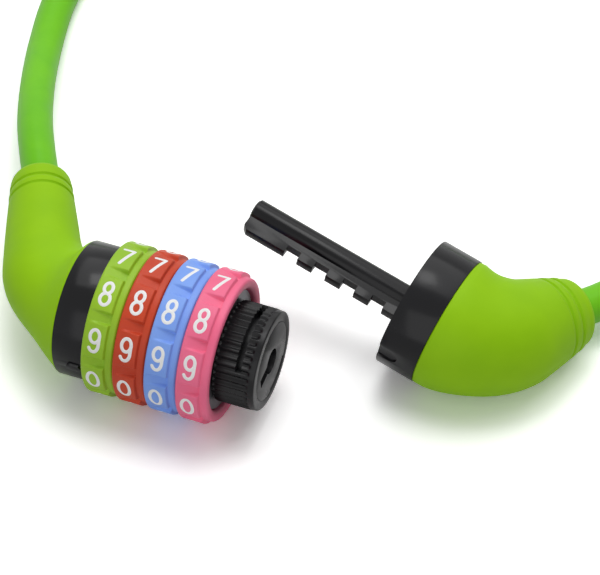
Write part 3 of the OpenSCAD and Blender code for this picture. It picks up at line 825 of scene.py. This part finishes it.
@dataclass(frozen=True)
class Cable:
    """The cable, one smooth line in three lengths.

    Attributes:
        radius: Radius of the jacket.
        step: Length between two points of the drawn line.
        inside: How far the cable runs into each boot.
        run_out: How far it runs straight out of the plug's boot.
        gap: How much less far it runs into the plug's boot.
        near_end: Share of a step at which an extra point keeps each end's direction.
        tongue: Length of the thin tongue that reaches into the next length.
        tongue_start: Where the tongue has its full thinness.
        tongue_share: Its radius, as a share of the jacket's.
        cuts: The points at which one length ends and the next starts.
        route: The points that the cable follows between the boots, as in the frame.
    """

    radius: float = 4.5
    step: float = 2.5
    inside: float = 6.0
    run_out: float = 9.0
    gap: float = 0.3
    near_end: float = 0.005
    tongue: float = 0.8
    tongue_start: float = 0.02
    tongue_share: float = 0.985
    cuts: tuple[int, int] = (12, 18)
    route: tuple[Triple, ...] = (
        (-79.2, 45.2, -1.9), (-84.6, 55.5, -3.7), (-89.5, 66.5, -6.3), (-94, 78, -9.2),
        (-98.4, 91, -12), (-102.6, 108, -13.4), (-104.2, 128, -13.4), (-103.2, 149, -13.4),
        (-98.5, 170, -13.4), (-89, 188, -13.4), (-75, 201, -13.4), (-57, 208.5, -13.4),
        (-36, 211, -13.4), (-14, 211.5, -13.4), (8, 210, -13.4), (29, 205, -13.4),
        (48, 195.5, -13.4), (63, 181, -13.4), (74, 163, -13.4), (81.5, 143, -13.4),
        (84.8, 122, -13.4), (84.7, 105, -13.4), (81.6, 90, -13.2), (76.8, 76.5, -12.6),
        (70.8, 64.5, -11.4),
    )

    def line(self, points: Sequence[Vector], first: int, last: int) -> list[Vector]:
        """Draw a smooth line through the points from one to another.

        Args:
            points: Every point of the cable.
            first: The length's first point.
            last: Its last point.

        Returns:
            Points close together along the line.
        """
        out: list[Vector] = []
        end = len(points) - 1
        for i in range(first, last):
            p0, p1 = points[max(i - 1, 0)], points[i]
            p2, p3 = points[i + 1], points[min(i + 2, end)]
            count = max(2, round((p2 - p1).length / self.step))
            shares = [k / count for k in range(count)]
            if i == first:
                shares.insert(1, self.near_end)
            if i == last - 1:
                shares.append(1 - self.near_end)
            out += [self._between(p0, p1, p2, p3, share) for share in shares]
        out.append(points[last].copy())
        return out

    @staticmethod
    def _between(p0: Vector, p1: Vector, p2: Vector, p3: Vector, t: float) -> Vector:
        """Give a point between p1 and p2 on a spline whose knots follow the points' distances.

        At the cable's own ends, where p0 is p1 or p3 is p2, the line goes straight on.

        Args:
            p0: The point before p1.
            p1: The point that the span starts at.
            p2: The point that it ends at.
            p3: The point after p2.
            t: Share of the span.

        Returns:
            The point.
        """
        t1 = max((p1 - p0).length, TINY) ** 0.5
        t2 = t1 + (p2 - p1).length ** 0.5
        t3 = t2 + max((p3 - p2).length, TINY) ** 0.5
        at = t1 + (t2 - t1) * t
        if (p1 - p0).length < TINY:
            p0, t0 = p1 - (p2 - p1), -(t2 - t1) + t1
        else:
            t0 = 0.0
        if (p3 - p2).length < TINY:
            p3, t3 = p2 + (p2 - p1), t2 + (t2 - t1)

        def mix(a: Vector, b: Vector, ta: float, tb: float) -> Vector:
            """Mix two points by where the wanted knot lies between theirs."""
            return a * ((tb - at) / (tb - ta)) + b * ((at - ta) / (tb - ta))

        a1, a2, a3 = mix(p0, p1, t0, t1), mix(p1, p2, t1, t2), mix(p2, p3, t2, t3)
        b1, b2 = mix(a1, a2, t0, t2), mix(a2, a3, t1, t3)
        return mix(b1, b2, t1, t2)

    def _tongue(self, end: Vector, towards: Vector) -> list[tuple[Vector, float]]:
        """Give the points of the thin tongue beyond an end, each with its share of the radius."""
        back = (end - towards).normalized()
        return [(end + back * far, self.tongue_share) for far in (self.tongue_start, self.tongue)]

    def tube(
        self, name: str, line: Sequence[Vector], joins: tuple[bool, bool]
    ) -> bpy.types.Object:
        """Sweep the jacket along a line.

        Args:
            name: The piece's name.
            line: The jacket's middle line, in millimetres.
            joins: Whether another length follows at its start and at its end.

        Returns:
            The piece in metres, with no parent.
        """
        curve = bpy.data.curves.new(name + "_line", "CURVE")
        curve.dimensions = "3D"
        curve.bevel_depth = self.radius * MM
        curve.bevel_resolution = 6
        curve.use_fill_caps = True
        curve.twist_mode = "MINIMUM"
        rings = [(place, 1.0) for place in line]
        if joins[0]:
            rings = [*reversed(self._tongue(line[0], line[1])), *rings]
        if joins[1]:
            rings += self._tongue(line[-1], line[-2])
        spline = curve.splines.new("POLY")
        spline.points.add(len(rings) - 1)
        for point, (place, share) in zip(spline.points, rings):
            point.co = (*(place * MM), 1.0)
            point.radius = share
        holder = bpy.data.objects.new(name + "_line", curve)
        mesh = bpy.data.meshes.new_from_object(holder)
        bpy.data.objects.remove(holder)
        bpy.data.curves.remove(curve)
        sharpen(mesh, 60.0)
        mesh.name = name
        mesh.materials.clear()
        mesh.materials.append(Finishes.CABLE.build())
        piece = bpy.data.objects.new(name, mesh)
        bpy.context.scene.collection.objects.link(piece)
        return piece

    def build(self, lock_boot: Boot, plug_boot: Boot) -> None:
        """Args:
            lock_boot: The boot that the cable comes out of.
            plug_boot: The boot that it goes into.
        """
        points = [
            lock_boot.cable_point(-self.inside),
            lock_boot.cable_point(0.0),
            *(Vector(point) for point in self.route),
            plug_boot.cable_point(self.run_out),
            plug_boot.cable_point(0.0),
            plug_boot.cable_point(self.gap - self.inside),
        ]
        last = len(points) - 1
        spans = (
            ("cable_from_lock", "cable_lock_side", Body.LOCK, Body.FAR, 0, self.cuts[0]),
            ("cable_bow", "cable_middle", Body.FAR, Body.NEAR, self.cuts[0], self.cuts[1]),
            ("cable_to_plug", "cable_plug_side", Body.NEAR, Body.PLUG, self.cuts[1], last),
        )
        for name, node, near, far, first, final in spans:
            line = self.line(points, first, final)
            piece = self.tube(name, line, (first > 0, final < last))
            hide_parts(node)
            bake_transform(piece)


# ---------------------------------------------------------------- dials


class Stroke:
    """One pen stroke of a number, in a box that runs from -1 to 1 each way."""

    def __init__(self, points: Sequence[Pair], closed: bool = False) -> None:
        """Keep the stroke's points, and whether the last joins the first."""
        self.points = list(points)
        self.closed = closed

    @classmethod
    def arc(
        cls, centre: Pair, radii: Pair, start: float, end: float, then: Sequence[Pair] = ()
    ) -> Stroke:
        """Draw part of an oval, and then on to more points.

        Args:
            centre: The oval's centre.
            radii: Half its width and half its height.
            start: Angle that the stroke starts at, in degrees.
            end: Angle that it ends at, a full turn on for a closed oval.
            then: Points that it goes on to.

        Returns:
            The stroke.
        """
        count = max(6, round(abs(end - start) / 12))
        closed = abs(abs(end - start) - 360) < TINY
        steps = range(count) if closed else range(count + 1)
        turns = [math.radians(start + (end - start) * k / count) for k in steps]
        oval = [
            (centre[0] + radii[0] * math.cos(turn), centre[1] + radii[1] * math.sin(turn))
            for turn in turns
        ]
        return cls([*oval, *then], closed)


NUMBERS: dict[int, tuple[Stroke, ...]] = {
    0: (Stroke.arc((0, 0), (0.78, 0.92), 90, 450),),
    1: (Stroke([(-0.35, 0.55), (0.1, 0.95), (0.1, -0.95)]),),
    2: (Stroke.arc((0, 0.38), (0.7, 0.57), 165, -38, [(-0.72, -0.95), (0.75, -0.95)]),),
    3: (
        Stroke.arc((-0.05, 0.46), (0.66, 0.49), 150, -78),
        Stroke.arc((-0.05, -0.46), (0.72, 0.49), 82, -150),
    ),
    4: (Stroke([(0.75, -0.38), (-0.8, -0.38), (0.3, 0.95), (0.3, -0.95)]),),
    5: (
        Stroke([(0.62, 0.93), (-0.5, 0.93), (-0.58, 0.12)]),
        Stroke.arc((-0.02, -0.32), (0.7, 0.61), 142, -145),
    ),
    6: (
        Stroke.arc((0, -0.4), (0.66, 0.54), 0, 360),
        Stroke.arc((0.02, 0.32), (0.68, 0.61), 32, 180, [(-0.66, -0.4)]),
    ),
    7: (Stroke([(-0.72, 0.92), (0.75, 0.92), (-0.25, -0.95)]),),
    8: (
        Stroke.arc((0, 0.47), (0.58, 0.46), 0, 360),
        Stroke.arc((0, -0.47), (0.68, 0.49), 0, 360),
    ),
    9: (
        Stroke.arc((0, 0.4), (0.66, 0.54), 0, 360),
        Stroke.arc((-0.02, -0.32), (0.68, 0.61), -148, 0, [(0.66, 0.4)]),
    ),
}
PEN_TIP = ((1.0, 0.05), *((c, (1 - c * c) ** 0.5) for c in (0.92, 0.7, 0.38)))


@dataclass(frozen=True)
class Dial:
    """A number ring with ten raised pads, a lower ring beside them and a rounded opening.

    Attributes:
        index: Place in the row, 0 beside the collar.
        finish: Its surface.
        slot: The record's material slot; not used.
        pad_radius: Radius over the pads.
        pad_width: From the dial's edge to the pads' end.
        pad_height: How much lower the ring beside the pads is.
        ring_lift: How much of that height the ring keeps.
        rim: Width of the plain edge beside the valleys.
        recess: Radius of the wide opening.
        bore: Radius of the bore.
        floor: Where the wide opening ends.
        columns: Number of mesh columns for each number.
        valley_step: Angle between two columns of a valley's floor.
        valley_wall: Angles of the columns on a valley's wall, from its middle.
        wall_ease: Angle over which the wall rises.
        pad_edge: Angle at which the pad's top starts.
        skin: Depth of the outside layer that the valleys move.
        valley_run: Length of a valley's deepest part.
        valley_sink: A valley's depth, as a share of the pads' height.
        number_size: Half a number's width and height.
        number_edge: From the dial's edge to the numbers' band.
        stroke: Half a stroke's width.
        stroke_step: Longest straight bit of a stroke on the curved pad.
        print_height: How far the numbers stand proud.
    """

    index: int
    finish: Finish
    slot: Slot
    pad_radius: float = 18.0
    pad_width: float = 5.5
    pad_height: float = 1.1
    ring_lift: float = 0.12
    rim: float = 0.55
    recess: float = 14.5
    bore: float = 9.6
    floor: float = 0.2
    columns: int = 36
    valley_step: float = 1.3
    valley_wall: tuple[float, ...] = (3.1, 3.5, 3.9, 4.3, 4.7, 5.1)
    wall_ease: float = 2.0
    pad_edge: float = 5.8
    skin: float = 1.0
    valley_run: float = 0.4
    valley_sink: float = 1.12
    number_size: Pair = (1.72, 2.85)
    number_edge: float = 0.35
    stroke: float = 0.4
    stroke_step: float = 0.45
    print_height: float = 0.07

    @property
    def middle(self) -> float:
        """Place of the dial's middle along the axis."""
        return LAST_FACE - DIAL_WIDTH / 2 - DIAL_PITCH * (DIAL_COUNT - 1 - self.index)

    @property
    def valley(self) -> float:
        """Angle of the first valley's middle."""
        return CODE_ANGLE + NUMBER_STEP / 2

    def profile(self) -> list[Pair]:
        """List the ring's section through a pad, from its boot side round to its bore."""
        half = DIAL_WIDTH / 2
        pad_end = self.pad_width - half
        top = self.pad_radius
        ring = top - self.pad_height + self.ring_lift
        flat = pad_end - 0.3 + half - self.rim
        return [
            (-half, top - 0.5), (-half + 0.08, top - 0.22), (-half + 0.25, top - 0.05),
            (-half + 0.45, top),
            *((-half + self.rim + flat * k / 8, top) for k in range(9)),
            (pad_end - 0.12, top - 0.06), (pad_end, top - 0.22), (pad_end + 0.08, top - 0.55),
            (pad_end + 0.16, ring + 0.1), (pad_end + 0.32, ring),
            (half - 0.75, ring), (half - 0.4, ring - 0.06), (half - 0.15, ring - 0.25),
            (half - 0.02, ring - 0.6), (half, ring - 0.9),
            (half, self.recess + 1.1), (half - 0.06, self.recess + 0.7),
            (half - 0.25, self.recess + 0.32), (half - 0.6, self.recess + 0.08),
            (half - 1.0, self.recess),
            (self.floor + 0.2, self.recess), (self.floor, self.recess - 0.2),
            (self.floor, self.bore + 0.2), (self.floor - 0.2, self.bore),
            (-half + 0.2, self.bore), (-half, self.bore + 0.2),
        ]

    def column_angles(self) -> list[float]:
        """Spread a number's columns so that most of them stand on the valley's walls."""
        floor = [k * self.valley_step for k in range(-2, 3)]
        wall = list(self.valley_wall)
        pad_count = self.columns - len(floor) - 2 * len(wall)
        span = (NUMBER_STEP - 2 * self.pad_edge) / (pad_count - 1)
        pad = [self.pad_edge + span * k for k in range(pad_count)]
        next_wall = [NUMBER_STEP - angle for angle in reversed(wall)]
        half_floor = [angle for angle in floor if angle >= 0]
        next_floor = [NUMBER_STEP + angle for angle in floor if angle < 0]
        return half_floor + wall + pad + next_wall + next_floor

    def sink_valleys(self, bm: bmesh.types.BMesh) -> None:
        """Sink the ten valleys, which fall from the rim to the lower ring."""
        columns = self.column_angles()
        half = DIAL_WIDTH / 2
        start, end = -half + self.rim, self.pad_width - half + 0.1
        wall_end = self.valley_wall[-1]

        def rule(x: float, radius: float, angle: float) -> Triple:
            """Move a point to its column's angle, and down if it is in a valley."""
            turn = (angle - self.valley) % 360
            number, column = divmod(round(turn) % 360, self.columns)
            local = columns[column]
            placed = self.valley + number * NUMBER_STEP + local
            off = min(local, NUMBER_STEP - local)
            sunk = smooth((wall_end - off) / self.wall_ease)
            if radius > self.pad_radius - self.skin and start < x < end:
                share = min((x - start) / (end - start - self.valley_run), 1.0)
                depth = self.pad_height * self.valley_sink * share * sunk
                radius = min(radius, self.pad_radius - depth)
            return x, radius, placed

        reshape(bm, rule)

    def build(self) -> None:
        """Make the dial and its ten numbers."""
        bm = lathe(self.profile(), len(NUMBERS) * self.columns)
        bmesh.ops.rotate(
            bm,
            cent=(0, 0, 0),
            matrix=Matrix.Rotation(math.radians(self.valley), 3, "X"),
            verts=bm.verts,
        )
        self.sink_valleys(bm)
        bmesh.ops.translate(bm, vec=(self.middle, 0, 0), verts=bm.verts)
        number = self.index + 1
        body = Body(f"dial_{number}")
        ring, numbers = f"number_ring_{number}", f"numbers_{number}"
        make_piece(bm, ring, self.finish, body, sharp=60.0, node=body.value)
        make_piece(self.numbers(), numbers, Finishes.PRINT, body, sharp=50.0)

    def numbers(self) -> bmesh.types.BMesh:
        """Lay the ten numbers on the pads, 0 under the collar's mark.

        Returns:
            The numbers' mesh, in millimetres.
        """
        bm = bmesh.new()
        band = (self.pad_width - self.number_edge) / 2
        x = self.middle + (-DIAL_WIDTH / 2 + self.number_edge + band)
        for number, strokes in NUMBERS.items():
            for stroke in strokes:
                self._lay(bm, stroke, x, CODE_ANGLE + NUMBER_STEP * number)
        bmesh.ops.recalc_face_normals(bm, faces=bm.faces)
        return bm

    def _lay(self, bm: bmesh.types.BMesh, stroke: Stroke, x: float, angle: float) -> None:
        """Sweep a stroke with round ends and lay it on the pad's curved top.

        Args:
            bm: The numbers' mesh.
            stroke: The stroke.
            x: Place of the number's middle along the axis.
            angle: Its angle from the top.
        """
        width, height = self.number_size
        curve = bpy.data.curves.new("stroke", "CURVE")
        curve.dimensions = "3D"
        curve.bevel_depth = self.stroke
        curve.bevel_resolution = 2
        curve.use_fill_caps = True
        points = self._spaced([Vector((px * width, py * height, 0.0)) for px, py in stroke.points])
        rings = [(point, 1.0) for point in points]
        if not stroke.closed:
            head = self._pen_tip(points[0], points[1])
            tail = self._pen_tip(points[-1], points[-2])
            rings = [*head, *rings, *reversed(tail)]
        spline = curve.splines.new("POLY")
        spline.points.add(len(rings) - 1)
        spline.use_cyclic_u = stroke.closed
        for point, (place, share) in zip(spline.points, rings):
            point.co = (*place, 1.0)
            point.radius = share
        holder = bpy.data.objects.new("stroke", curve)
        mesh = bpy.data.meshes.new_from_object(holder)
        before = len(bm.verts)
        bm.from_mesh(mesh)
        bm.verts.ensure_lookup_table()
        bpy.data.objects.remove(holder)
        bpy.data.curves.remove(curve)
        bpy.data.meshes.remove(mesh)
        flat = self.print_height / self.stroke
        for vert in bm.verts[before:]:
            across, up, out = vert.co
            turn = angle - math.degrees(up / self.pad_radius)
            vert.co = around(x + across, self.pad_radius + out * flat, turn)

    def _spaced(self, points: Sequence[Vector]) -> list[Vector]:
        """Add points so that long strokes can follow the pad's curve."""
        out = [points[0]]
        for point in points[1:]:
            start = out[-1]
            count = max(1, math.ceil((point - start).length / self.stroke_step))
            out += [start.lerp(point, k / count) for k in range(1, count + 1)]
        return out

    def _pen_tip(self, end: Vector, towards: Vector) -> list[tuple[Vector, float]]:
        """Give the points beyond a stroke's end, each with its share of the stroke's width."""
        back = (end - towards).normalized() * self.stroke
        return [(end + back * reach, share) for reach, share in PEN_TIP]


DIALS = (
    Dial(0, Finishes.GREEN, Slot.GREEN),
    Dial(1, Finishes.RED, Slot.RED),
    Dial(2, Finishes.BLUE, Slot.BLUE),
    Dial(3, Finishes.PINK, Slot.PINK),
)


# ---------------------------------------------------------------- sleeve, collars, core, bolt


@dataclass(frozen=True)
class Sleeve:
    """The ribbed reset sleeve, with the slot that its stop pin runs in.

    Attributes:
        start: Where it starts, beside the last dial.
        radius: Radius over the ribs.
        bore: Radius of its bore.
        ribs: Number of ribs.
        rib_columns: Number of mesh columns for each rib.
        rib_depth: Depth of the grooves between the ribs.
        rib_shape: Power that makes the grooves wider than the ribs, if under 1.
        rib_end: Where the ribs run out, before the end face.
        rib_fade: Length over which they run out.
        rim_drop: How much the sleeve narrows beside the end face, and over what length.
        slot: From where to where the slot runs along the axis.
        slot_angles: From where to where it runs round the axis.
        slot_floor: Radius of its floor.
    """

    start: float = -9.9
    radius: float = 12.0
    bore: float = 9.48
    ribs: int = 42
    rib_columns: int = 12
    rib_depth: float = 0.6
    rib_shape: float = 0.75
    rib_end: float = -1.35
    rib_fade: float = 0.7
    rim_drop: Pair = (0.14, 0.6)
    slot: Pair = (-4.9, -3.5)
    slot_angles: Pair = (-38.0, 62.0)
    slot_floor: float = 9.6

    def profile(self) -> list[Pair]:
        """List the section from the dial side round to the bore."""
        low, high = self.slot
        xs = [self.start + 0.25, self.start + 0.6]
        xs += [self.start + 1.0 + (low - 0.3 - self.start - 1.0) * k / 6 for k in range(7)]
        xs += [low - 0.1, low - 0.03, low + 0.03, high - 0.03, high + 0.03, high + 0.1]
        xs += [high + 0.4 + (self.rib_end - 0.4 - high - 0.4) * k / 4 for k in range(5)]
        xs += [self.rib_end - 0.2, self.rib_end, self.rib_end + 0.2]
        return [
            (self.start, self.radius - 0.3),
            *((x, self.radius) for x in xs),
            (-0.42, self.radius - 0.2), (-0.26, self.radius - 0.22), (-0.12, self.radius - 0.28),
            (-0.03, self.radius - 0.4), (0.0, self.radius - 0.56),
            (0.0, self.bore + 0.04), (-0.05, self.bore), (self.start + 0.15, self.bore),
            (self.start, self.bore + 0.15),
        ]

    def cut(self, x: float, radius: float, angle: float) -> Triple:
        """Move a point down into the slot or into the groove between two ribs.

        Args:
            x: Its place along the axis.
            radius: Its distance from the axis.
            angle: Its angle from the top.

        Returns:
            The point's new x, radius and angle.
        """
        if radius < self.radius - 0.05 or x > self.rib_end + 0.25:
            return x, radius, angle
        low, high = self.slot_angles
        if self.slot[0] < x < self.slot[1] and low < angle < high:
            return x, self.slot_floor, angle
        wave = 0.5 + 0.5 * math.cos(math.radians(angle * self.ribs))
        run_out = smooth((self.rib_end + 0.1 - x) / self.rib_fade)
        groove = self.rib_depth * wave**self.rib_shape * run_out
        drop, length = self.rim_drop
        rim = drop * smooth((x - self.rib_end + 0.5) / length)
        return x, radius - groove - rim, angle

    def build(self) -> None:
        """Spin the sleeve, and cut its ribs."""
        bm = lathe(self.profile(), self.ribs * self.rib_columns)
        reshape(bm, self.cut)
        make_piece(
            bm,
            "ribbed_sleeve",
            Finishes.RIBBED,
            Body.SLEEVE,
            sharp=55.0,
            node="reset_sleeve",
        )


@dataclass(frozen=True)
class Turned:
    """A frame node that keeps its shape and gets its edges rounded and a finish.

    Attributes:
        name: The piece's name.
        node: The frame's node.
        finish: Its surface.
        slot: The record's material slot; not used.
        body: The body that it rides on.
        width: How much of each edge is rounded off.
        mouth: How much of the edge round the bolt hole is rounded off, if more.
        mouth_reach: Radius round the lock's axis that holds that edge.
        limit: Edges whose faces meet at more than this angle are rounded.
        flat: Faces that meet at less than this angle are made one.
        merge: Points that are closer than this are made one.
        steps: Number of faces across a rounded edge, and across the bolt hole's.
    """

    name: str
    node: str
    finish: Finish
    slot: Slot
    body: Body
    width: float
    mouth: float = 0.0
    mouth_reach: float = 7.2
    limit: float = 32.0
    flat: float = 0.5
    merge: float = 1e-3
    steps: tuple[int, int] = (2, 3)

    def _at_mouth(self, edge: bmesh.types.BMEdge) -> bool:
        """Say whether an edge lies on the end face, round the bolt hole."""
        spots = [vert.co for vert in edge.verts]
        return all(c.x > -0.01 and math.hypot(c.y, c.z) < self.mouth_reach for c in spots)

    def rounded(self, source: bpy.types.Object) -> bmesh.types.BMesh:
        """Copy the node's mesh in millimetres and round its sharp edges.

        Args:
            source: The node's object.

        Returns:
            The rounded mesh.
        """
        bm = bmesh.new()
        bm.from_mesh(source.data)
        bmesh.ops.scale(bm, vec=(1 / MM, 1 / MM, 1 / MM), verts=bm.verts)
        bmesh.ops.remove_doubles(bm, verts=bm.verts, dist=self.merge)
        flat, limit = math.radians(self.flat), math.radians(self.limit)
        bmesh.ops.dissolve_limit(bm, angle_limit=flat, verts=bm.verts, edges=bm.edges)
        sharp = [
            edge
            for edge in bm.edges
            if len(edge.link_faces) == 2 and edge.calc_face_angle(0.0) > limit
        ]
        rim = [edge for edge in sharp if self.mouth and self._at_mouth(edge)]
        rest = [edge for edge in sharp if edge not in rim]
        widths = (self.width, self.mouth)
        for edges, offset, steps in zip((rest, rim), widths, self.steps):
            kept = [edge for edge in edges if edge.is_valid]
            if not kept:
                continue
            bmesh.ops.bevel(
                bm,
                geom=kept,
                offset=offset,
                offset_type="OFFSET",
                affect="EDGES",
                segments=steps,
                profile=0.5,
                material=-1,
                clamp_overlap=True,
            )
        return bm

    def build(self, nodes: dict[str, bpy.types.Object]) -> None:
        """Copy the node, round its edges and dress it."""
        bm = self.rounded(nodes[self.node])
        make_piece(
            bm, self.name, self.finish, self.body, sharp=38.0, node=self.node
        )


TURNED = (
    Turned("lock_ring", "lock_collar", Finishes.BLACK, Slot.BLACK, Body.LOCK, width=0.35),
    Turned("plug_ring", "plug_collar", Finishes.BLACK, Slot.BLACK, Body.PLUG, width=0.35),
    Turned(
        "keyed_core", "lock_core", Finishes.RIBBED, Slot.RIBBED, Body.LOCK, width=0.08, mouth=0.65
    ),
    Turned("toothed_bolt", "lock_bolt", Finishes.BOLT, Slot.BOLT, Body.PLUG, width=0.16),
)

DRESSED: tuple[tuple[Finish, tuple[str, ...]], ...] = (
    (Finishes.ZINC, ("lock_housing", "plug_housing", "lock_ferrule", "plug_ferrule")),
    (Finishes.PLATE, ("end_plate",)),
    (Finishes.STEEL, ("core_screws", "base_washer", "spacer_1", "spacer_2", "spacer_3")),
    (Finishes.STEEL, ("detent_balls", "detent_springs", "wave_washer")),
    (Finishes.BOLT, ("stop_pin",)),
    (Finishes.STEEL, ("lock_ferrule_pin", "plug_ferrule_pin", "bolt_pin")),
    (Finishes.BRASS, ("code_ring_1", "code_ring_2", "code_ring_3", "code_ring_4")),
)


def dress(nodes: dict[str, bpy.types.Object]) -> None:
    """Give each frame node that stays its own finish."""
    for finish, names in DRESSED:
        for name in names:
            materials = nodes[name].data.materials
            materials.clear()
            materials.append(finish.build())
            LOG.info("%s: dressed in %s", name, finish.name)


def main() -> None:
    """Build the scene from the camera to the last finish."""
    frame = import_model()
    studio = Studio()
    studio.camera()
    Cable().build(LOCK_BOOT, PLUG_BOOT)
    studio.floor()
    studio.light()
    for boot in (LOCK_BOOT, PLUG_BOOT):
        boot.build()
    for dial in DIALS:
        dial.build()
    Sleeve().build()
    for turned in TURNED:
        turned.build(frame["nodes"])
    dress(frame["nodes"])


if __name__ == "__main__":
    logging.basicConfig(level=logging.INFO, format="%(name)s %(message)s")
    main()
